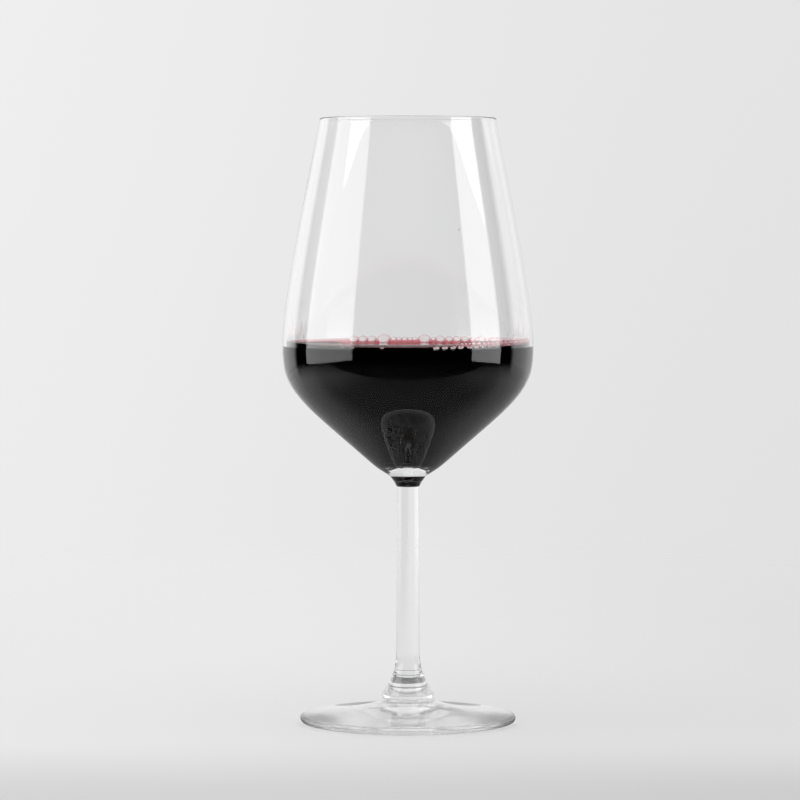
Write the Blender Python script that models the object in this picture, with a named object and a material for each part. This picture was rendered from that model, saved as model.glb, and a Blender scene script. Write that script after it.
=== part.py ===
"""A stemmed red-wine glass with a measure of wine in it.

Three glass pieces share one upright axis: a blown bowl with a conical base,
a drawn stem and a pressed foot.  They stand on each other in that order and
are fused with heat on the real object.  The wine is the fourth piece.

Units are metres, +Z is up, and the origin is the middle of the foot's
contact ring, where the glass stands on the table.
"""

import math

import bmesh
import bpy
from mathutils import Matrix, Vector

# ---- driving dimensions ---------------------------------------------------

HEIGHT = 0.2200
FUSED_GAP = 0.0003            # clearance kept between pieces that are fused

RIM_RADIUS = 0.0321
RIM_LEAN = 0.15               # how fast the wall widens just under the rim
BELLY_RADIUS = 0.04565
BELLY_Z = 0.1375
CONE_ANGLE = math.radians(49.1)      # of the bowl's lower cone, from the axis
CONE_TOP = (0.0289, 0.1080)          # radius and height where the shoulder ends
WALL = 0.00125
BOWL_FLOOR_Z = 0.0940                # the lowest point of the inside
FLOOR_EDGE_Z = 0.0962                # where the flat floor has turned up into the cone

NECK_Z = 0.0860                      # where the bowl is fused to the stem
NECK_RADIUS = 0.0042

STEM_TOP_RADIUS = 0.0040
STEM_BOTTOM_RADIUS = 0.0042
STEM_FOOT_Z = 0.0176                 # where the stem is fused to the foot
STEM_FOOT_RADIUS = 0.0053

FOOT_RADIUS = 0.0393
FOOT_EDGE = 0.00275                  # thickness of the rounded edge
BOSS_TOP_RADIUS = 0.0057
LIP_RADIUS = 0.0095
LIP_Z = 0.0101
CONTACT_OUTER = 0.0378               # the ring that touches the table
CONTACT_INNER = 0.0335
HOLLOW_DEPTH = 0.0009                # the underside rises by this in the middle

WINE_LEVEL = 0.1370

SEGMENTS = 48                        # round each piece

CONE_DIRECTION = Vector((math.sin(CONE_ANGLE), math.cos(CONE_ANGLE)))


# ---- outlines: (radius, height) points in the half plane at +X ------------

def curve(start, handle_a, handle_b, end, steps):
    """Points on a cubic Bezier curve, without its first point."""
    start, handle_a, handle_b, end = map(Vector, (start, handle_a, handle_b, end))
    points = []
    for i in range(1, steps + 1):
        t = i / steps
        s = 1.0 - t
        points.append(s**3 * start + 3 * s * s * t * handle_a
                      + 3 * s * t * t * handle_b + t**3 * end)
    return points


def arc(centre, radius, from_deg, to_deg, steps):
    """Points on an arc, both ends included."""
    points = []
    for i in range(steps + 1):
        angle = math.radians(from_deg + (to_deg - from_deg) * i / steps)
        points.append(Vector((centre[0] + radius * math.cos(angle),
                              centre[1] + radius * math.sin(angle))))
    return points


def cone_point(height, inset=0.0):
    """The point of the bowl's lower cone at a height, moved in from the wall."""
    top = Vector(CONE_TOP) + inset * Vector((-CONE_DIRECTION.y, CONE_DIRECTION.x))
    return top + CONE_DIRECTION * ((height - top.y) / CONE_DIRECTION.y)


def bowl_wall(inset, cone_foot_z, steps):
    """The side of the bowl from its cone's foot up to just under the rim."""
    belly = Vector((BELLY_RADIUS - inset, BELLY_Z))
    shoulder = cone_point(CONE_TOP[1] + inset * CONE_DIRECTION.x, inset)
    rim = Vector((RIM_RADIUS - inset, HEIGHT - WALL / 2))
    points = [cone_point(cone_foot_z, inset), shoulder]
    points += curve(shoulder, shoulder + CONE_DIRECTION * 0.0202,
                    belly - Vector((0, 0.0114)), belly, steps)
    points += curve(belly, belly + Vector((0, 0.0185)),
                    rim + Vector((RIM_LEAN, -1)) * 0.008, rim, steps)
    return points


def bowl_floor(lift):
    """The nearly flat floor of the inside, from the axis out to the cone."""
    foot = cone_point(FLOOR_EDGE_Z + lift, WALL + lift)
    floor = Vector((0.0, BOWL_FLOOR_Z + lift))
    return [floor] + curve(floor, floor + Vector((0.0112, 0)),
                           foot - CONE_DIRECTION * 0.0020, foot, 6)


def bowl_outline():
    cone_foot_z = 0.0945
    foot = cone_point(cone_foot_z)
    kink = Vector((0.0066, 0.0898))
    neck = Vector((NECK_RADIUS, NECK_Z))
    points = [Vector((0, NECK_Z)), neck]
    points += curve(neck, neck + Vector((0.00055, 0.0012)),
                    kink - Vector((0.0010, 0.0012)), kink, 4)
    points += curve(kink, kink + Vector((0.0014, 0.0011)),
                    foot - CONE_DIRECTION * 0.0038, foot, 4)
    points += bowl_wall(0.0, cone_foot_z, 9)[1:]
    rim_centre = (RIM_RADIUS - WALL / 2, HEIGHT - WALL / 2)
    points += arc(rim_centre, WALL / 2, 0, 180, 4)[1:-1]
    points += reversed(bowl_wall(WALL, FLOOR_EDGE_Z, 9)[1:])
    points += reversed(bowl_floor(0.0))
    return points


def stem_outline():
    top = Vector((STEM_TOP_RADIUS, NECK_Z - FUSED_GAP))
    flare_z = 0.0265
    waist = Vector((STEM_BOTTOM_RADIUS, flare_z))
    foot = Vector((STEM_FOOT_RADIUS, STEM_FOOT_Z))
    rounding = 0.0004
    points = [Vector((0, STEM_FOOT_Z)), foot]
    points += curve(foot, foot + Vector((-0.0004, 0.0018)),
                    waist - Vector((0, 0.0045)), waist, 6)
    points += [waist.lerp(top, 0.5)]
    points += arc((top.x - rounding, top.y - rounding), rounding, 0, 90, 2)
    points += [Vector((0, top.y))]
    return points


def foot_outline():
    edge_radius = FOOT_EDGE / 2
    lip_bead = 0.0008
    boss_top = Vector((BOSS_TOP_RADIUS, STEM_FOOT_Z - FUSED_GAP))
    lip = Vector((LIP_RADIUS - lip_bead, LIP_Z))
    undercut = Vector((0.0091, 0.0086))
    disc_edge = Vector((CONTACT_OUTER, FOOT_EDGE))
    hollow_edge = Vector((0.0305, 0.0005))
    points = [Vector((0, HOLLOW_DEPTH))]
    points += curve(points[0], (0.012, HOLLOW_DEPTH), (0.022, 0.0008), hollow_edge, 4)
    points += [Vector((CONTACT_INNER, 0)), Vector((CONTACT_OUTER, 0))]
    points += arc((FOOT_RADIUS - edge_radius, edge_radius), edge_radius, -78, 78, 6)
    points += reversed([undercut + Vector((0.0004, -0.0006))]
                       + curve(undercut + Vector((0.0004, -0.0006)), (0.0125, 0.0062),
                               (0.0220, 0.0042), disc_edge, 7))
    points += [undercut]
    points += arc(lip, lip_bead, -50, 40, 3)
    points += curve(points[-1], (0.0078, 0.0127), (0.0066, 0.0143),
                    boss_top - Vector((0, 0.0006)), 5)
    points += [boss_top - Vector((0.0004, 0)), Vector((0, boss_top.y))]
    return points


def wine_outline():
    """The inside of the bowl below the wine's level, clear of the glass."""
    side = bowl_floor(FUSED_GAP) + bowl_wall(WALL + FUSED_GAP, FLOOR_EDGE_Z + FUSED_GAP, 9)[1:]
    below = [point for point in side if point.y < WINE_LEVEL - 0.0002]
    above = side[len(below)]
    share = (WINE_LEVEL - below[-1].y) / (above.y - below[-1].y)
    edge = below[-1].lerp(above, share)
    return below + [edge, Vector((0, WINE_LEVEL))]


# ---- making a piece -------------------------------------------------------

def principled(name, colour, roughness, transmission=0.0, ior=1.5):
    material = bpy.data.materials.new(name)
    material.use_nodes = True
    shader = material.node_tree.nodes["Principled BSDF"]
    shader.inputs["Base Color"].default_value = (*colour, 1.0)
    shader.inputs["Roughness"].default_value = roughness
    shader.inputs["Metallic"].default_value = 0.0
    shader.inputs["IOR"].default_value = ior
    shader.inputs["Transmission Weight"].default_value = transmission
    material.diffuse_color = (*colour, 1.0)
    return material


def turned_piece(name, outline, material):
    """A solid of revolution from an outline that starts and ends on the axis."""
    mesh = bpy.data.meshes.new(name)
    shape = bmesh.new()
    profile = [shape.verts.new((point.x, 0.0, point.y)) for point in outline]
    edges = [shape.edges.new(pair) for pair in zip(profile, profile[1:])]
    bmesh.ops.spin(shape, geom=profile + edges, cent=(0, 0, 0), axis=(0, 0, 1),
                   angle=math.tau, steps=SEGMENTS, use_merge=True)
    bmesh.ops.remove_doubles(shape, verts=shape.verts, dist=1e-6)
    bmesh.ops.dissolve_degenerate(shape, edges=shape.edges, dist=1e-7)
    bmesh.ops.recalc_face_normals(shape, faces=shape.faces)
    shape.to_mesh(mesh)
    shape.free()
    mesh.materials.append(material)
    mesh.shade_smooth()
    mesh.set_sharp_from_angle(angle=math.radians(40))
    piece = bpy.data.objects.new(name, mesh)
    bpy.context.collection.objects.link(piece)
    return piece


# ---- the glass ------------------------------------------------------------

for old in list(bpy.data.objects):
    bpy.data.objects.remove(old, do_unlink=True)

centre = bpy.data.objects.new("wine_glass", None)
centre.matrix_world = Matrix.Identity(4)
bpy.context.collection.objects.link(centre)

bowl_glass = principled("bowl_glass", (0.94, 0.96, 0.96), 0.02, 1.0, 1.52)
stem_glass = principled("stem_glass", (0.93, 0.95, 0.95), 0.02, 1.0, 1.52)
foot_glass = principled("foot_glass", (0.92, 0.95, 0.94), 0.03, 1.0, 1.52)
red_wine = principled("red_wine", (0.055, 0.003, 0.009), 0.05, 0.0, 1.34)

PIECES = (("foot", foot_outline, foot_glass),
          ("stem", stem_outline, stem_glass),
          ("bowl", bowl_outline, bowl_glass),
          ("wine", wine_outline, red_wine))

for piece_name, outline_of, piece_material in PIECES:
    turned_piece(piece_name, outline_of(), piece_material).parent = centre
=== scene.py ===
import math
import random

import bmesh
import bpy
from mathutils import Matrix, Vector


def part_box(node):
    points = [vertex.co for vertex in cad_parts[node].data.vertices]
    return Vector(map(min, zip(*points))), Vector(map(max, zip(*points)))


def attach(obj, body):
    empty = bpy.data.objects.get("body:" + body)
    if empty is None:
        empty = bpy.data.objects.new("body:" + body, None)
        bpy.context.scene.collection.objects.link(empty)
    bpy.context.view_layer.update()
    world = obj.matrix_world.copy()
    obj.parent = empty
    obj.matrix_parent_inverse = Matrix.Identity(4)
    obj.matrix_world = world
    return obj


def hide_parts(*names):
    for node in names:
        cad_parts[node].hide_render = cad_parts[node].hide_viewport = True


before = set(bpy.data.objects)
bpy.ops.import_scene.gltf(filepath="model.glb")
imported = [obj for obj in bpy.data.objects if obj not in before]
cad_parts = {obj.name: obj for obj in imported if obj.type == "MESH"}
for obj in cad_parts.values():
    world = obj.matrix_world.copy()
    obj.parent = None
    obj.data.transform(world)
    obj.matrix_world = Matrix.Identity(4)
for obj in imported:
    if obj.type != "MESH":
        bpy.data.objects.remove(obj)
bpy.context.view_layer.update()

# ---- camera -----------------------------------------------------------------
# A long lens, a little above the middle of the bowl, that looks slightly down
# and sees the rim from just below and the foot from above.
CAMERA_DISTANCE = 1.400
CAMERA_HEIGHT = 0.185
CAMERA_PITCH = math.radians(2.76)
CAMERA_SIDE_STEP = -0.0029       # the glass stands a little right of the middle
CAMERA_LENS = 173.25             # mm
SENSOR_WIDTH = 36.0              # mm

scene = bpy.context.scene
camera_data = bpy.data.cameras.new("camera")
camera_data.lens = CAMERA_LENS
camera_data.sensor_width = SENSOR_WIDTH
camera_data.clip_start = 0.05
camera = bpy.data.objects.new("camera", camera_data)
camera.location = (CAMERA_SIDE_STEP, -CAMERA_DISTANCE, CAMERA_HEIGHT)
camera.rotation_euler = (math.radians(90) - CAMERA_PITCH, 0, 0)
scene.collection.objects.link(camera)
scene.camera = camera


# ---- studio -----------------------------------------------------------------
# A white table with painted shade at its front and right, which runs out into a pale
# backdrop, a tall soft light on each side of the glass, and a dark room behind the camera.
TABLE_RADIUS = 0.95
TABLE_GAP = 0.00003              # keeps the table off the foot's contact ring
TABLE_FADE_FROM = 0.20           # the table starts to melt into the backdrop
TABLE_FRONT_EDGE = -0.205        # past this the glass mirrors the dark room
TABLE_COLOUR = (0.93, 0.93, 0.93, 1.0)
# painted shade: the table's front is painted darker, for the light that falls off towards the camera
TABLE_FRONT_PAINTED_SHADE = (0.74, 0.74, 0.74, 1.0)
TABLE_FRONT_RAMP = (-0.19, -0.045)     # Y, from the front's painted shade to the table's own colour
TABLE_RIGHT_SHADE = (0.885, 0.885, 0.885, 1.0)
TABLE_RIGHT_RAMP = (-0.10, 0.24)       # X, from no shade to all of it
MIRRORED_FRONT = 0.17            # painted reflection tone: how bright the glass mirrors the table in front of it
MIRRORED_BACK = 0.45             # and the table behind it
MIRRORED_LEFT = 0.45             # what is added to that towards the left and the right
MIRRORED_RIGHT = 0.30
MIRRORED_BACK_RAMP = (-0.025, 0.06)    # Y
MIRRORED_LEFT_RAMP = (-0.30, -0.08)    # X
MIRRORED_RIGHT_RAMP = (0.08, 0.30)     # X
UNDER_FOOT = 0.85                # how far that painted reflection tone holds under the foot for light on a longer way
UNDER_FOOT_RAMP = (0.028, 0.042)       # radius
BACKDROP_LEFT = (0.868, 0.868, 0.868, 1.0)
BACKDROP_RIGHT = (0.771, 0.771, 0.771, 1.0)
BACKDROP_RAMP = (-0.17, 0.13)    # from left to right, as the X of a direction
BACKDROP_WINGS = 1.22            # the sides of the backdrop are the brightest
WING_RAMP = (0.35, 0.60)         # sideways, either way
WING_TURN_RAMP = (-0.3, 0.3)     # X, from the left wing's edge to the right one's
WING_EDGE_LEFT = 0.60            # the Y of a direction at which the dark room ends
WING_EDGE_RIGHT = 0.37
WING_EDGE_BLUR = 0.06
HORIZON_RAMP = (-0.15, 0.10)     # the Z of a direction
HORIZON_TONES = (0.975, 1.01)    # the backdrop below and above the horizon
ROOM_DARK = (0.006, 0.006, 0.006, 1.0)
ROOM_OVERHEAD = (0.78, 0.78, 0.78, 1.0)
CEILING_RAMP = (0.32, 0.62)      # Z, from the dark room to the light ceiling
LIGHT_SEEN_THROUGH = 0.42        # a soft light that is seen through the glass looks like the backdrop
TABLE_LIGHT = 1.09               # the light on the table, next to the backdrop's tone
MIRRORED_ONCE = 0.5              # a Glossy Depth above this has been mirrored at least once
WHITE = (1.0, 1.0, 1.0, 1.0)

scene.view_settings.view_transform = "Standard"
scene.cycles.max_bounces = 32
scene.cycles.transmission_bounces = 28
scene.cycles.glossy_bounces = 12
scene.cycles.transparent_max_bounces = 32
scene.cycles.sample_clamp_indirect = 6.0
scene.cycles.blur_glossy = 0.0
scene.cycles.use_denoising = True


def shade(tree, kind, **settings):
    """A shader node with its plain settings; an input is set as in_Name."""
    node = tree.nodes.new(kind)
    for name, value in settings.items():
        if name.startswith("in_"):
            node.inputs[name[3:].replace("_", " ")].default_value = value
        else:
            setattr(node, name, value)
    return node


def new_material(name):
    material = bpy.data.materials.new(name)
    material.use_nodes = True
    material.node_tree.nodes.clear()
    return material, material.node_tree


def math_node(tree, operation, first, second):
    """The output of a Math node; each input is a socket or a number."""
    node = shade(tree, "ShaderNodeMath", operation=operation)
    for socket, value in zip(node.inputs, (first, second)):
        if isinstance(value, (int, float)):
            socket.default_value = value
        else:
            tree.links.new(value, socket)
    return node.outputs[0]


def smooth_step(tree, value, start, end, low=0.0, high=1.0):
    node = shade(tree, "ShaderNodeMapRange", interpolation_type="SMOOTHSTEP",
                 in_From_Min=start, in_From_Max=end, in_To_Min=low, in_To_Max=high)
    tree.links.new(value, node.inputs["Value"])
    return node.outputs["Result"]


def mix_colours(tree, factor, first, second):
    """The output of a colour Mix node; each colour is a socket or four numbers."""
    node = shade(tree, "ShaderNodeMix", data_type="RGBA")
    tree.links.new(factor, node.inputs["Factor"])
    for socket, value in ((node.inputs["A"], first), (node.inputs["B"], second)):
        if isinstance(value, tuple):
            socket.default_value = value
        else:
            tree.links.new(value, socket)
    return node.outputs["Result"]


def scale_colour(tree, colour, factor):
    node = shade(tree, "ShaderNodeVectorMath", operation="SCALE")
    tree.links.new(colour, node.inputs[0])
    if isinstance(factor, float):
        node.inputs["Scale"].default_value = factor
    else:
        tree.links.new(factor, node.inputs["Scale"])
    return node.outputs[0]


def make_backdrop():
    world = bpy.data.worlds.new("backdrop")
    world.use_nodes = True
    tree = world.node_tree
    tree.nodes.clear()
    split = shade(tree, "ShaderNodeSeparateXYZ")
    tree.links.new(shade(tree, "ShaderNodeTexCoord").outputs["Generated"], split.inputs[0])
    right, away, up = split.outputs
    pale = mix_colours(tree, smooth_step(tree, right, *BACKDROP_RAMP), BACKDROP_LEFT, BACKDROP_RIGHT)
    pale = scale_colour(tree, pale, smooth_step(tree, up, *HORIZON_RAMP, *HORIZON_TONES))
    # What the glass bends or mirrors: brighter wings beside the backdrop, and for
    # mirrored light a dark room in front of them that grows lighter overhead.
    sideways = math_node(tree, "ABSOLUTE", right, 0.0)
    wings = smooth_step(tree, sideways, *WING_RAMP, 1.0, BACKDROP_WINGS)
    winged = scale_colour(tree, pale, wings)
    wing_edge = smooth_step(tree, right, *WING_TURN_RAMP, WING_EDGE_LEFT, WING_EDGE_RIGHT)
    past_edge = math_node(tree, "SUBTRACT", away, wing_edge)
    behind = smooth_step(tree, past_edge, -WING_EDGE_BLUR, WING_EDGE_BLUR)
    overhead = mix_colours(tree, smooth_step(tree, up, *CEILING_RAMP), ROOM_DARK, ROOM_OVERHEAD)
    path = shade(tree, "ShaderNodeLightPath")
    unmirrored = math_node(tree, "LESS_THAN", path.outputs["Glossy Depth"], MIRRORED_ONCE)
    by_glass = mix_colours(tree, math_node(tree, "MAXIMUM", behind, unmirrored), overhead, winged)
    table_light = scale_colour(tree, pale, TABLE_LIGHT)
    plain = mix_colours(tree, path.outputs["Is Camera Ray"], table_light, pale)
    background = shade(tree, "ShaderNodeBackground")
    output = shade(tree, "ShaderNodeOutputWorld")
    tree.links.new(mix_colours(tree, path.outputs["Is Glossy Ray"], plain, by_glass),
                   background.inputs["Color"])
    tree.links.new(background.outputs[0], output.inputs["Surface"])
    scene.world = world


def make_table():
    mesh = bpy.data.meshes.new("table")
    shape = bmesh.new()
    bmesh.ops.create_circle(shape, cap_ends=True, segments=96, radius=TABLE_RADIUS)
    bmesh.ops.translate(shape, verts=shape.verts, vec=(0, 0, -TABLE_GAP))
    shape.to_mesh(mesh)
    shape.free()
    material, tree = new_material("white_table")
    place = shade(tree, "ShaderNodeTexCoord").outputs["Object"]
    split = shade(tree, "ShaderNodeSeparateXYZ")
    tree.links.new(place, split.inputs[0])
    right, away = split.outputs["X"], split.outputs["Y"]
    length = shade(tree, "ShaderNodeVectorMath", operation="LENGTH")
    tree.links.new(place, length.inputs[0])
    radius = length.outputs["Value"]
    past_front = smooth_step(tree, away, *TABLE_FRONT_RAMP)
    at_right = smooth_step(tree, right, *TABLE_RIGHT_RAMP)
    # Painted shade: the table's colour is made darker towards its front and towards its right.
    shading = shade(tree, "ShaderNodeMix", data_type="RGBA", blend_type="MULTIPLY", in_Factor=1.0)
    tree.links.new(mix_colours(tree, past_front, TABLE_FRONT_PAINTED_SHADE, TABLE_COLOUR),
                   shading.inputs["A"])
    tree.links.new(mix_colours(tree, at_right, WHITE, TABLE_RIGHT_SHADE), shading.inputs["B"])
    seen = shading.outputs["Result"]
    # Painted reflection: what the glass mirrors of the table is painted dimmer, and nothing past its
    # front edge.
    tone = smooth_step(tree, away, *MIRRORED_BACK_RAMP, MIRRORED_FRONT, MIRRORED_BACK)
    left_tone = smooth_step(tree, right, *MIRRORED_LEFT_RAMP, MIRRORED_LEFT, 0.0)
    right_tone = smooth_step(tree, right, *MIRRORED_RIGHT_RAMP, 0.0, MIRRORED_RIGHT)
    tone = math_node(tree, "ADD", math_node(tree, "ADD", tone, left_tone), right_tone)
    on_table = math_node(tree, "GREATER_THAN", away, TABLE_FRONT_EDGE)
    painted_reflection = scale_colour(tree, seen, math_node(tree, "MULTIPLY", tone, on_table))
    path = shade(tree, "ShaderNodeLightPath")
    just_mirrored = math_node(tree, "GREATER_THAN", path.outputs["Is Glossy Ray"],
                              path.outputs["Is Transmission Ray"])
    once_mirrored = math_node(tree, "GREATER_THAN", path.outputs["Glossy Depth"], MIRRORED_ONCE)
    under_foot = smooth_step(tree, radius, *UNDER_FOOT_RAMP, UNDER_FOOT, 0.0)
    is_mirrored = math_node(tree, "MAXIMUM", just_mirrored,
                            math_node(tree, "MULTIPLY", once_mirrored, under_foot))
    card = shade(tree, "ShaderNodeBsdfPrincipled", in_Roughness=0.7, in_Specular_IOR_Level=0.1)
    tree.links.new(mix_colours(tree, is_mirrored, seen, painted_reflection), card.inputs["Base Color"])
    fade = shade(tree, "ShaderNodeMixShader")
    tree.links.new(smooth_step(tree, radius, TABLE_FADE_FROM, TABLE_RADIUS), fade.inputs["Fac"])
    tree.links.new(card.outputs[0], fade.inputs[1])
    tree.links.new(shade(tree, "ShaderNodeBsdfTransparent").outputs[0], fade.inputs[2])
    output = shade(tree, "ShaderNodeOutputMaterial")
    tree.links.new(fade.outputs[0], output.inputs["Surface"])
    mesh.materials.append(material)
    table = bpy.data.objects.new("table", mesh)
    scene.collection.objects.link(table)


def soft_light(name, centre, size, watts):
    """A tall rectangle of light that faces the glass and shows in it as a band."""
    light = bpy.data.lights.new(name, "AREA")
    light.shape = "RECTANGLE"
    light.size, light.size_y = size
    light.energy = watts
    light.use_nodes = True
    tree = light.node_tree
    mirrorings = shade(tree, "ShaderNodeLightPath").outputs["Glossy Depth"]
    strength = math_node(tree, "GREATER_THAN", mirrorings, MIRRORED_ONCE)
    strength = math_node(tree, "MAXIMUM", strength, LIGHT_SEEN_THROUGH)
    tree.links.new(strength, tree.nodes["Emission"].inputs["Strength"])
    holder = bpy.data.objects.new(name, light)
    holder.location = centre
    facing = Vector((-centre[0], 0, 0))
    holder.rotation_euler = facing.to_track_quat("-Z", "Y").to_euler()
    holder.visible_camera = False
    holder.visible_diffuse = False
    scene.collection.objects.link(holder)


make_backdrop()
make_table()
soft_light("soft_light_left", centre=(-0.40, -0.125, 0.395), size=(0.42, 0.65), watts=1.84)
soft_light("soft_light_right", centre=(0.40, -0.13, 0.395), size=(0.25, 0.65), watts=1.32)


# ---- bowl -------------------------------------------------------------------
# The blown cup of clear crystalline glass: a narrow fire-polished rim, a wide
# belly, a straight cone under it, and a thick clear floor that runs into a
# short neck, where it is fused to the stem.
WALL = 0.00125
RIM_RADIUS = 0.0321
RIM_LEAN = 0.15
BELLY_Z = 0.1375
CONE_ANGLE = math.radians(49.1)
CONE_TOP = Vector((0.0289, 0.1080))
CONE_FOOT_Z = 0.0945
SHOULDER_HOLD = 0.0202           # how far each curve of the side holds on to the direction
BELLY_HOLD_LOW = 0.0114          # that it starts or ends with: at the shoulder, below and
BELLY_HOLD_HIGH = 0.0185         # above the belly, and at the rim
RIM_HOLD = 0.008
BOWL_FLOOR_Z = 0.0940
FLOOR_EDGE_Z = 0.0962            # where the nearly flat floor has turned up into the cone
NECK_RADIUS = 0.0042
NECK_KINK = Vector((0.0066, 0.0898))   # where the neck turns outwards into the cone
STEM_RADIUS = 0.0040
WET_TOP_Z = 0.1390               # how high the wine creeps up the wall
WET_GLASS_Z = 0.1372             # below this the wine wets the glass without a gap
WET_EDGE_CLEARANCE = 0.0004      # no other ring of points is closer to that edge
FINENESS = 14                    # points on the cone; the belly has twice and the top three times
NECK_FINENESS = 10
RIM_STEPS = 12
TURN_STEPS = 224
FLAT = 0.9                       # how much of a flat face's normal is upright
LEVEL = 0.99
NEAR = 1e-5
SHARP_EDGE = math.radians(50)
GLASS_IOR = 1.52
WINE_AGAINST_GLASS = 1.134       # the step in refraction where wine wets the glass
GLASS_FACE, JOINED_FACE, OTHER_FACE = range(3)   # the materials of a glass piece, in order

bowl_low, bowl_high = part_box("bowl")
neck_z = bowl_low.z
rim_z = bowl_high.z
belly = Vector((bowl_high.x, BELLY_Z))
cone_direction = Vector((math.sin(CONE_ANGLE), math.cos(CONE_ANGLE)))


def curve(start, handle_a, handle_b, end, steps):
    """Points on a cubic Bezier curve, without its first point."""
    start, handle_a, handle_b, end = map(Vector, (start, handle_a, handle_b, end))
    points = []
    for i in range(1, steps + 1):
        t = i / steps
        s = 1.0 - t
        points.append(s**3 * start + 3 * s * s * t * handle_a
                      + 3 * s * t * t * handle_b + t**3 * end)
    return points


def arc(centre, radius, from_deg, to_deg, steps):
    """Points on an arc, both ends included."""
    points = []
    for i in range(steps + 1):
        angle = math.radians(from_deg + (to_deg - from_deg) * i / steps)
        points.append(Vector((centre[0] + radius * math.cos(angle),
                              centre[1] + radius * math.sin(angle))))
    return points


def cone_point(height, inset=0.0):
    """The point of the bowl's lower cone at a height, moved in from the wall."""
    top = CONE_TOP + inset * Vector((-cone_direction.y, cone_direction.x))
    return top + cone_direction * ((height - top.y) / cone_direction.y)


def bowl_wall(inset, cone_foot_z, fineness):
    """The side of the bowl from its cone's foot up to just under the rim."""
    widest = belly - Vector((inset, 0))
    shoulder = cone_point(CONE_TOP.y + inset * cone_direction.x, inset)
    rim = Vector((RIM_RADIUS - inset, rim_z - WALL / 2))
    foot = cone_point(cone_foot_z, inset)
    points = [foot.lerp(shoulder, i / fineness) for i in range(fineness)] + [shoulder]
    points += curve(shoulder, shoulder + cone_direction * SHOULDER_HOLD,
                    widest - Vector((0, BELLY_HOLD_LOW)), widest, 2 * fineness)
    points += curve(widest, widest + Vector((0, BELLY_HOLD_HIGH)),
                    rim + Vector((RIM_LEAN, -1)) * RIM_HOLD, rim, 3 * fineness)
    return points


def bowl_floor(lift, fineness):
    """The rounded floor of the inside, from the axis out to the cone."""
    foot = cone_point(FLOOR_EDGE_Z + lift, WALL + lift)
    floor = Vector((0.0, BOWL_FLOOR_Z + lift))
    return [floor] + curve(floor, floor + Vector((0.0112, 0)),
                           foot - cone_direction * 0.0020, foot, fineness)


def neck_outline(fineness):
    """From the fused face out to the foot of the cone."""
    foot = cone_point(CONE_FOOT_Z)
    neck = Vector((NECK_RADIUS, neck_z + 0.0002))
    points = [Vector((0, neck_z)), Vector((STEM_RADIUS, neck_z)), neck]
    points += curve(neck, neck + Vector((0.00055, 0.0012)),
                    NECK_KINK - Vector((0.0010, 0.0012)), NECK_KINK, fineness)
    points += curve(NECK_KINK, NECK_KINK + Vector((0.0014, 0.0011)),
                    foot - cone_direction * 0.0038, foot, fineness)
    return points


def turn(outline, steps=TURN_STEPS):
    """A bmesh of revolution from an outline that starts and ends on the axis."""
    shape = bmesh.new()
    profile = [shape.verts.new((point.x, 0.0, point.y)) for point in outline]
    edges = [shape.edges.new(pair) for pair in zip(profile, profile[1:])]
    bmesh.ops.spin(shape, geom=profile + edges, cent=(0, 0, 0), axis=(0, 0, 1),
                   angle=math.tau, steps=steps, use_merge=True)
    bmesh.ops.remove_doubles(shape, verts=shape.verts, dist=1e-6)
    bmesh.ops.recalc_face_normals(shape, faces=shape.faces)
    return shape


def finish_piece(name, shape, materials, node):
    """The smooth-shaded piece that stands for a CAD node and rides on the body."""
    mesh = bpy.data.meshes.new(name)
    shape.to_mesh(mesh)
    shape.free()
    for material in materials:
        mesh.materials.append(material)
    mesh.shade_smooth()
    mesh.set_sharp_from_angle(angle=SHARP_EDGE)
    piece = bpy.data.objects.new(name, mesh)
    scene.collection.objects.link(piece)
    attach(piece, "root")
    if node:
        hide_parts(node)
    return piece


def make_glass_surface():
    """The faint unevenness of hot-worked glass, as a node group for all three pieces."""
    group = bpy.data.node_groups.new("hot_worked_glass", "ShaderNodeTree")
    for label, default in (("Waves per metre", 60.0), ("Stretch", 0.25),
                           ("Wave Depth", 0.00002), ("Smear", 0.02), ("Satin", 0.0)):
        socket = group.interface.new_socket(label, in_out="INPUT", socket_type="NodeSocketFloat")
        socket.default_value = default
    group.interface.new_socket("Roughness", in_out="OUTPUT", socket_type="NodeSocketFloat")
    group.interface.new_socket("Normal", in_out="OUTPUT", socket_type="NodeSocketVector")
    taken = group.nodes.new("NodeGroupInput")
    given = group.nodes.new("NodeGroupOutput")
    place = shade(group, "ShaderNodeTexCoord").outputs["Object"]
    stretch = shade(group, "ShaderNodeCombineXYZ", in_X=1.0, in_Y=1.0)
    group.links.new(taken.outputs["Stretch"], stretch.inputs["Z"])
    stretched = shade(group, "ShaderNodeVectorMath", operation="MULTIPLY")
    group.links.new(place, stretched.inputs[0])
    group.links.new(stretch.outputs[0], stretched.inputs[1])
    waves = shade(group, "ShaderNodeTexNoise", in_Detail=2.0, in_Roughness=0.4)
    group.links.new(stretched.outputs[0], waves.inputs["Vector"])
    group.links.new(taken.outputs["Waves per metre"], waves.inputs["Scale"])
    height = math_node(group, "MULTIPLY", waves.outputs["Fac"], taken.outputs["Wave Depth"])
    bump = shade(group, "ShaderNodeBump", in_Strength=1.0, in_Distance=1.0)
    group.links.new(height, bump.inputs["Height"])
    smears = shade(group, "ShaderNodeTexNoise", in_Scale=140.0, in_Detail=6.0, in_Roughness=0.7)
    group.links.new(place, smears.inputs["Vector"])
    patches = smooth_step(group, smears.outputs["Fac"], 0.55, 0.75)
    smeared = math_node(group, "MULTIPLY", patches, taken.outputs["Smear"])
    roughness = math_node(group, "ADD", smeared, taken.outputs["Satin"])
    group.links.new(roughness, given.inputs["Roughness"])
    group.links.new(bump.outputs["Normal"], given.inputs["Normal"])
    return group


hot_worked_glass = make_glass_surface()


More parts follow.
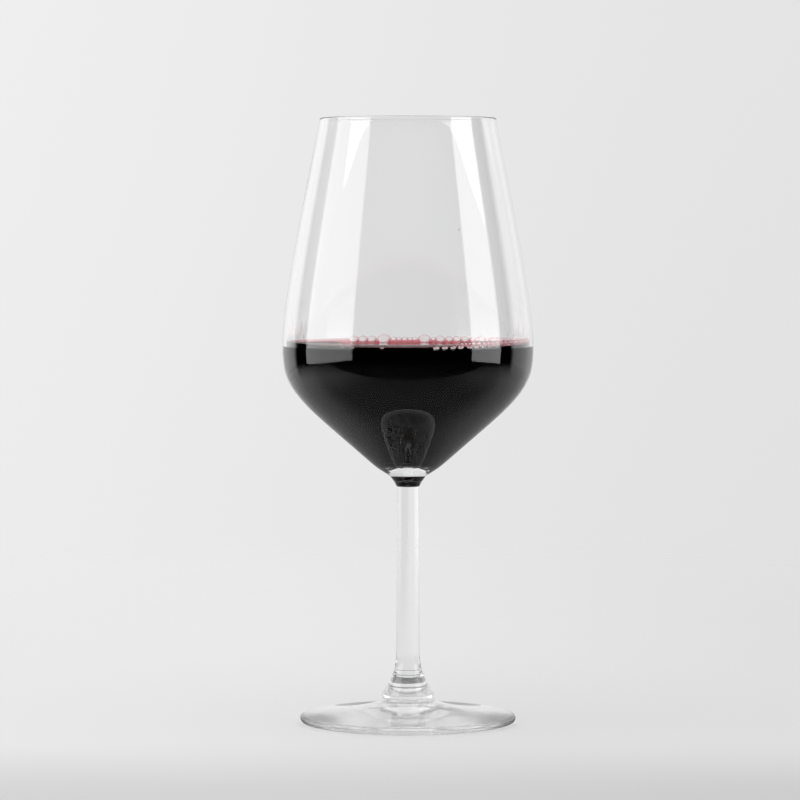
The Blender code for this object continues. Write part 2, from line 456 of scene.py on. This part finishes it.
def clear_body(name, ior, tint=(1.0, 1.0, 1.0)):
    """A smooth clear material, with its shader and output for what is added to it."""
    material, tree = new_material(name)
    body = shade(tree, "ShaderNodeBsdfPrincipled", in_Base_Color=(*tint, 1.0), in_IOR=ior,
                 in_Roughness=0.0, in_Transmission_Weight=1.0)
    output = shade(tree, "ShaderNodeOutputMaterial")
    tree.links.new(body.outputs[0], output.inputs["Surface"])
    return material, body, output


def clear_glass(name, tint, waves, stretch, depth, smear, satin=0.0):
    """Clear glass of one piece: its tint and how uneven its making left it."""
    material, glass, _ = clear_body(name, GLASS_IOR, tint)
    tree = material.node_tree
    surface = shade(tree, "ShaderNodeGroup", node_tree=hot_worked_glass, in_Waves_per_metre=waves,
                    in_Stretch=stretch, in_Wave_Depth=depth, in_Smear=smear, in_Satin=satin)
    tree.links.new(surface.outputs["Roughness"], glass.inputs["Roughness"])
    tree.links.new(surface.outputs["Normal"], glass.inputs["Normal"])
    return material


def no_surface():
    """A face where glass runs on into glass, or wine wets it: it shows nothing."""
    material, tree = new_material("no_surface")
    clear = shade(tree, "ShaderNodeBsdfPrincipled", in_Alpha=0.0, in_IOR=1.0)
    output = shade(tree, "ShaderNodeOutputMaterial")
    tree.links.new(clear.outputs[0], output.inputs["Surface"])
    return material


joined = no_surface()
bowl_outline = neck_outline(NECK_FINENESS)
bowl_outline += bowl_wall(0.0, CONE_FOOT_Z, FINENESS)[1:]
bowl_outline += arc((RIM_RADIUS - WALL / 2, rim_z - WALL / 2), WALL / 2, 0, 180, RIM_STEPS)[1:-1]
inner_wall = bowl_wall(WALL, FLOOR_EDGE_Z, FINENESS)
inner_side = [point for point in inner_wall if abs(point.y - WET_GLASS_Z) > WET_EDGE_CLEARANCE]
above = [point for point in inner_side if point.y > WET_GLASS_Z]
below = [point for point in inner_side if point.y < WET_GLASS_Z]
share = (WET_GLASS_Z - below[-1].y) / (above[0].y - below[-1].y)
wet_edge = below[-1].lerp(above[0], share)
bowl_outline += list(reversed(below[1:] + [wet_edge] + above))
bowl_outline += list(reversed(bowl_floor(0.0, FINENESS)))

bowl_shape = turn(bowl_outline)
for face in bowl_shape.faces:
    middle = face.calc_center_median()
    radius = math.hypot(middle.x, middle.y)
    inwards = face.normal.x * middle.x + face.normal.y * middle.y < 0 or face.normal.z > FLAT
    fused = middle.z < neck_z + NEAR and radius < STEM_RADIUS
    wetted = inwards and BOWL_FLOOR_Z - 10 * NEAR < middle.z < WET_GLASS_Z
    face.material_index = JOINED_FACE if fused or wetted else GLASS_FACE
    if wetted and middle.z < FLOOR_EDGE_Z:
        face.material_index = OTHER_FACE
bowl_glass = clear_glass("blown_glass", (0.999, 0.9995, 1.0),
                         waves=45.0, stretch=0.35, depth=0.000020, smear=0.02)
# The floor under the wine mirrors whatever grazes it from below.
glass_on_wine = clear_body("glass_on_wine", WINE_AGAINST_GLASS)[0]
finish_piece("glass_bowl", bowl_shape, (bowl_glass, joined, glass_on_wine), "bowl")


# ---- stem -------------------------------------------------------------------
# A rod of clear glass, drawn out while hot, so its faint ripples run along it.
# It widens a little where it meets the foot.
STEM_BOTTOM_RADIUS = 0.0042
STEM_FLARE_Z = 0.0265
STEM_FOOT_RADIUS = 0.0053
STEM_FOOT_ROUNDING = 0.0003
STEM_FOOT_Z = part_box("stem")[0].z
STEM_STEPS = 20
STEM_TURN_STEPS = 128
THICK_GLASS_TINT = (0.995, 0.998, 0.998)

stem_waist = Vector((STEM_BOTTOM_RADIUS, STEM_FLARE_Z))
stem_top = Vector((STEM_RADIUS, neck_z))
stem_foot = Vector((STEM_FOOT_RADIUS, STEM_FOOT_Z))
stem_outline = [Vector((0, STEM_FOOT_Z)), stem_foot - Vector((STEM_FOOT_ROUNDING, 0))]
stem_outline += curve(stem_outline[-1], stem_foot, stem_foot,
                      stem_foot + Vector((-0.00005, STEM_FOOT_ROUNDING)), 4)
stem_outline += curve(stem_outline[-1], stem_foot + Vector((-0.0004, 0.0020)),
                      stem_waist - Vector((0, 0.0045)), stem_waist, 16)
stem_outline += [stem_waist.lerp(stem_top, i / STEM_STEPS) for i in range(1, STEM_STEPS + 1)]
stem_outline += [Vector((0, neck_z))]

stem_shape = turn(stem_outline, STEM_TURN_STEPS)
for face in stem_shape.faces:
    face.material_index = JOINED_FACE if abs(face.normal.z) > LEVEL else GLASS_FACE
stem_glass = clear_glass("drawn_glass", THICK_GLASS_TINT,
                         waves=220.0, stretch=0.04, depth=0.000012, smear=0.02)
finish_piece("glass_stem", stem_shape, (stem_glass, joined), "stem")


# ---- foot -------------------------------------------------------------------
# The pressed round foot: a hollow-sided boss with a small lip in the middle,
# a disc that thins outwards, a fire-rounded edge and a slightly hollow
# underside that touches the table on a narrow ring.
FOOT_EDGE = 0.00275
BOSS_TOP_RADIUS = 0.0057
LIP_BEAD = 0.0008
LIP_CENTRE = Vector((0.0087, 0.0101))
UNDERCUT = Vector((0.0091, 0.0086))
CONTACT_OUTER = 0.0378
CONTACT_INNER = 0.0335
HOLLOW_DEPTH = 0.0009

foot_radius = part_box("foot")[1].x
edge_radius = FOOT_EDGE / 2
disc_start = UNDERCUT + Vector((0.0004, -0.0006))
boss_top = Vector((BOSS_TOP_RADIUS, STEM_FOOT_Z))

foot_outline = [Vector((0, HOLLOW_DEPTH))]
foot_outline += curve(foot_outline[0], (0.016, HOLLOW_DEPTH), (0.026, 0.0), (CONTACT_INNER, 0.0), 24)
foot_outline += [Vector((CONTACT_OUTER, 0))]
foot_outline += arc((foot_radius - edge_radius, edge_radius), edge_radius, -82, 84, 20)
foot_outline += list(reversed([disc_start] + curve(disc_start, (0.0125, 0.0062), (0.0220, 0.0042),
                                                   (CONTACT_OUTER, FOOT_EDGE), 32)))
foot_outline += curve(disc_start, UNDERCUT + Vector((0.0001, -0.0002)), UNDERCUT,
                      UNDERCUT + Vector((0, 0.0003)), 5)
foot_outline += arc(LIP_CENTRE, LIP_BEAD, -50, 40, 10)
foot_outline += curve(foot_outline[-1], (0.0078, 0.0127), (0.0066, 0.0143),
                      boss_top - Vector((0, 0.0006)), 16)
foot_outline += curve(foot_outline[-1], boss_top - Vector((0, 0.0001)), boss_top,
                      (STEM_FOOT_RADIUS - STEM_FOOT_ROUNDING, STEM_FOOT_Z), 5)
foot_outline += [Vector((0, STEM_FOOT_Z))]

foot_shape = turn(foot_outline)
for face in foot_shape.faces:
    height = face.calc_center_median().z
    fused = face.normal.z > LEVEL and height > STEM_FOOT_Z - NEAR
    face.material_index = JOINED_FACE if fused else GLASS_FACE
    if face.normal.z < -FLAT and height < HOLLOW_DEPTH + NEAR:
        face.material_index = OTHER_FACE
pressed = {"tint": THICK_GLASS_TINT, "waves": 60.0, "stretch": 1.0, "depth": 0.000004, "smear": 0.01}
foot_glass = clear_glass("pressed_glass", **pressed)
underside = clear_glass("pressed_underside", **pressed, satin=0.14)
finish_piece("glass_foot", foot_shape, (foot_glass, joined, underside), "foot")


# ---- wine -------------------------------------------------------------------
# The poured measure of dark red wine.  It fills the bowl to the belly, creeps
# up the wall in a narrow meniscus, and takes the light out of all but its
# thinnest edges.
WINE_LEVEL = 0.1369
WINE_COLOUR = (0.79, 0.02, 0.10, 1.0)
WINE_DENSITY = 800.0
CAPILLARY_LENGTH = 0.0021
WINE_SKIN = 0.00004              # keeps the wine's side off the glass's own face
WINE_FINENESS = 20
MENISCUS_STEPS = 24
SURFACE_STEPS = 6

side = bowl_floor(WINE_SKIN, WINE_FINENESS)
side += bowl_wall(WALL + WINE_SKIN, FLOOR_EDGE_Z + WINE_SKIN, WINE_FINENESS)[1:]
below = [point for point in side if point.y < WET_TOP_Z - 0.0002]
above = side[len(below)]
contact = below[-1].lerp(above, (WET_TOP_Z - below[-1].y) / (above.y - below[-1].y))
creep = WET_TOP_Z - WINE_LEVEL


def meniscus_reach(height):
    """How far from the wall the wine's surface has a height above its level."""
    long = 2 * CAPILLARY_LENGTH
    return (CAPILLARY_LENGTH * (math.acosh(long / height) - math.acosh(long / creep))
            - math.sqrt(long**2 - height**2) + math.sqrt(long**2 - creep**2))


wine_outline = below + [contact]
for i in range(1, MENISCUS_STEPS):
    height = creep * (1 - i / MENISCUS_STEPS) ** 1.6
    wine_outline.append(Vector((contact.x - meniscus_reach(height), WINE_LEVEL + height)))
level_edge = wine_outline[-1].x
for i in range(1, SURFACE_STEPS + 1):
    wine_outline.append(Vector((level_edge * (1 - i / SURFACE_STEPS), WINE_LEVEL)))

wine_material, _, wine_output = clear_body("red_wine", WINE_AGAINST_GLASS)
absorption = shade(wine_material.node_tree, "ShaderNodeVolumeAbsorption",
                   in_Color=WINE_COLOUR, in_Density=WINE_DENSITY)
wine_material.node_tree.links.new(absorption.outputs[0], wine_output.inputs["Volume"])
wine = finish_piece("wine_measure", turn(wine_outline), (wine_material,), "wine")


# ---- froth ------------------------------------------------------------------
# Bubbles from the pouring, which cling to the glass at the wine's edge: large
# ones along the back, a close patch at the right and strings of small ones from
# there to the front.  Each is air in a thin skin of the wine itself.
MILLIMETRE = 0.001
FROTH_Z = 0.1384                 # the middle of the bubbles at the back
STRING_Z = 0.1377                # the string at the front sits lower in the wine's edge
STRING_RISE = 0.0010             # and climbs this much on its way to the right
# Each bubble of a row: degrees round from the right, and half its size in millimetres.
BACK_ROW = ((118.0, 1.80), (112.9, 1.75), (108.2, 1.65), (102.2, 2.50), (97.0, 0.95),
            (94.3, 0.85), (91.5, 1.00), (88.8, 0.80), (86.4, 0.85), (81.6, 2.30),
            (77.2, 0.85), (73.6, 1.75), (69.0, 1.35), (64.8, 1.50), (60.5, 1.45))
FRONT_OF_ROW = ((105.0, 0.95), (78.6, 1.10), (71.0, 0.60), (66.9, 0.70))
LEFT_FRONT = ((-121.7, 0.75), (-115.9, 0.75), (-102.0, 0.80))
LEFT_TIP = ((-179.0, 0.80), (-176.4, 0.55), (-174.2, 0.50), (-171.9, 0.60))
FRONT_OF_ROW_OFF_WALL = 0.0032
OFF_WALL = 0.75                  # the middle of a large bubble off the wall, in half sizes
PATCH_FROM = 56.0                # degrees round from the right
PATCH_TO = 2.0
PATCH_STEP = 1.95                # from one bubble to the next, in half sizes
INNER_SHARE = 0.85               # of the patch's bubbles have a smaller one in front of them
INNER_TURN = 1.3                 # degrees
STRING_FROM = 0.0100             # X of the string's first bubble, and how far it runs along X
STRING_LENGTH = 0.0336
STRING_STEP = 2.35
EDGE_FROM = 0.0190               # X of the first and past the last on the wine's edge above it
EDGE_TO = 0.0437
EDGE_STEP = 2.3
FILM = 0.00010                   # how thick the skin is: at the back, in the string,
STRING_FILM = 0.00003            # on the wine's edge and at the left
EDGE_FILM = 0.00030
LEFT_FILM = 0.00005
AIR_OFF_WALL = 0.00001
FILM_OFF_WALL = 1.5 * WINE_SKIN
TO_THE_FRONT = Vector((0, -1, 0))
froth_chance = random.Random(4)


def wall_reach(height):
    """The radius of the bowl's inside at a height above its floor's edge."""
    for low, high in zip(inner_wall, inner_wall[1:]):
        if low.y <= height <= high.y:
            return low.lerp(high, (height - low.y) / (high.y - low.y)).x
    return inner_wall[-1].x


def add_bubble(angle_deg, off_wall, middle_z, half_sizes, film=FILM, facing=None, fineness=2):
    """A bubble's air and its film, two spheres flattened where the wall stops them.

    The half sizes are across, deep and tall.  Deep is away from the axis unless
    the bubble faces another way.
    """
    angle = math.radians(angle_deg)
    outwards = Vector((math.cos(angle), math.sin(angle), 0))
    deepwards = facing or outwards
    across = Vector((deepwards.y, -deepwards.x, 0))
    middle = outwards * (wall_reach(middle_z) - off_wall) + Vector((0, 0, middle_z))
    for shape, grown, clearance in ((air, 0.0, AIR_OFF_WALL), (films, film, FILM_OFF_WALL)):
        wide, deep, tall = (size + grown for size in half_sizes)
        made = bmesh.ops.create_icosphere(shape, subdivisions=fineness, radius=1.0)["verts"]
        for vert in made:
            place = middle + across * vert.co.x * wide + deepwards * vert.co.y * deep
            place.z += vert.co.z * tall
            stop = wall_reach(place.z) - clearance
            reach = math.hypot(place.x, place.y)
            if reach > stop:
                place.x *= stop / reach
                place.y *= stop / reach
            vert.co = place


def front_angle(right, height):
    """Degrees round the front wall to where it is this far right of the axis."""
    return -math.degrees(math.acos(right / wall_reach(height)))


def join_to_wine(shape, name, operation):
    """Adds a shape's bodies to the wine, or takes them out of it."""
    mesh = bpy.data.meshes.new(name)
    shape.to_mesh(mesh)
    shape.free()
    body = bpy.data.objects.new(name, mesh)
    scene.collection.objects.link(body)
    cut = wine.modifiers.new(name, "BOOLEAN")
    cut.operation = operation
    cut.solver = "EXACT"
    cut.use_self = True
    cut.object = body
    bpy.context.view_layer.update()
    merged = bpy.data.meshes.new_from_object(wine.evaluated_get(bpy.context.evaluated_depsgraph_get()))
    wine.modifiers.remove(cut)
    wine.data = merged
    bpy.data.objects.remove(body)


air = bmesh.new()
films = bmesh.new()
for angle, size in BACK_ROW:
    size *= MILLIMETRE
    add_bubble(angle, OFF_WALL * size, FROTH_Z, (size, size, 0.68 * size), fineness=3)
for angle, size in FRONT_OF_ROW:
    size *= MILLIMETRE
    add_bubble(angle, FRONT_OF_ROW_OFF_WALL, WINE_LEVEL + 0.4 * size, (size, size, 0.8 * size))

angle = PATCH_FROM
while angle > PATCH_TO:
    size = froth_chance.uniform(1.0, 1.6) * MILLIMETRE
    add_bubble(angle, OFF_WALL * size, FROTH_Z, (size, size, 0.75 * size))
    inner = froth_chance.uniform(0.6, 1.1) * MILLIMETRE
    if froth_chance.random() < INNER_SHARE:
        add_bubble(angle - INNER_TURN, 1.75 * size + 1.05 * inner, WINE_LEVEL + 0.6 * inner,
                   (inner, inner, 0.85 * inner))
    angle -= math.degrees(PATCH_STEP * size / belly.x)

string_x = STRING_FROM
while string_x < STRING_FROM + STRING_LENGTH:
    share = (string_x - STRING_FROM) / STRING_LENGTH
    size = (1.30 - 0.50 * share) * froth_chance.uniform(0.9, 1.1) * MILLIMETRE
    deep = (2.60 - 1.80 * share) * MILLIMETRE
    add_bubble(front_angle(string_x, STRING_Z), 0.5 * size, STRING_Z + STRING_RISE * share,
               (size, deep, 0.66 * size), film=STRING_FILM, facing=TO_THE_FRONT)
    string_x += STRING_STEP * size

edge_x = EDGE_FROM
while edge_x < EDGE_TO:
    size = froth_chance.uniform(0.60, 0.90) * MILLIMETRE
    add_bubble(front_angle(edge_x, WET_TOP_Z), 0.7 * size, WET_TOP_Z + 0.0001,
               (size, size, 0.85 * size), film=EDGE_FILM)
    edge_x += EDGE_STEP * size

for angle, size in LEFT_FRONT + LEFT_TIP:
    size *= MILLIMETRE
    add_bubble(angle, 0.4 * size, STRING_Z, (size, 1.9 * size, 0.6 * size), film=LEFT_FILM,
               facing=TO_THE_FRONT)

join_to_wine(films, "bubble_films", "UNION")
join_to_wine(air, "bubble_air", "DIFFERENCE")
wine.data.shade_smooth()
wine.data.set_sharp_from_angle(angle=SHARP_EDGE)


# ---- drops ------------------------------------------------------------------
# What the wine left on the inside of the bowl when it was poured and turned:
# short runs at both sides just above its edge, a few drops higher up, and
# fine spray.  They are thinned wine, so they are pale.
DROP_THICKNESS = 0.00016
DROP_OFF_WALL = 0.00002
LONG_DROP = 1.0                  # half height from which a drop hangs heavier at its foot
WINE_IOR = 1.34
# Each: degrees round from the right, height, half width and half height in millimetres.
RUNS = ((-149.0, 0.1442, 0.22, 2.6), (-154.0, 0.1424, 0.28, 2.0), (-158.0, 0.1450, 0.20, 2.4),
        (-163.0, 0.1432, 0.26, 1.9), (-146.0, 0.1410, 0.26, 1.2), (-168.0, 0.1446, 0.20, 2.2),
        (-33.0, 0.1412, 0.24, 1.2), (-28.0, 0.1438, 0.22, 2.3), (-22.5, 0.1424, 0.26, 1.9),
        (-18.0, 0.1448, 0.20, 2.2), (-12.0, 0.1434, 0.22, 2.0))
DROPS = ((-62.5, 0.1795, 0.34, 0.40), (-24.0, 0.1502, 0.40, 0.46), (-29.0, 0.1560, 0.22, 0.26),
         (-151.0, 0.1530, 0.24, 0.30), (118.0, 0.1476, 0.26, 0.32))
SPRAY_DROPS = 70
SPRAY_SIDES = (-156.0, -20.0, 35.0)    # degrees round from the right
SPRAY_SPREAD = 12.0
SPRAY_SIZES = (0.08, 0.20)       # half widths in millimetres
SPRAY_REACH = 0.065              # its square is how high the spray goes above the wine
drop_chance = random.Random(9)


def add_drop(shape, angle_deg, height, wide, tall):
    """A drop that lies on the inner wall; its sizes are half widths in millimetres."""
    made = bmesh.ops.create_icosphere(shape, subdivisions=2, radius=1.0)["verts"]
    for vert in made:
        across, inwards, upwards = vert.co
        z = height + upwards * tall * MILLIMETRE
        swell = 1.0 - 0.25 * upwards if tall > LONG_DROP else 1.0
        reach = wall_reach(z) - DROP_OFF_WALL - max(inwards, 0.0) * DROP_THICKNESS
        angle = math.radians(angle_deg) + across * wide * swell * MILLIMETRE / reach
        vert.co = (reach * math.cos(angle), reach * math.sin(angle), z)


drops = bmesh.new()
for angle, height, wide, tall in RUNS + DROPS:
    add_drop(drops, angle, height, wide, tall)
for _ in range(SPRAY_DROPS):
    angle = drop_chance.choice(SPRAY_SIDES) + drop_chance.gauss(0.0, SPRAY_SPREAD)
    size = drop_chance.uniform(*SPRAY_SIZES)
    above_wine = 0.0004 + drop_chance.uniform(0.0, SPRAY_REACH) ** 2
    add_drop(drops, angle, WET_TOP_Z + above_wine, size, 1.15 * size)
bmesh.ops.recalc_face_normals(drops, faces=drops.faces)
drop_material = clear_body("wine_drops", WINE_IOR, tint=(0.96, 0.82, 0.84))[0]
finish_piece("wine_drops", drops, (drop_material,), None)
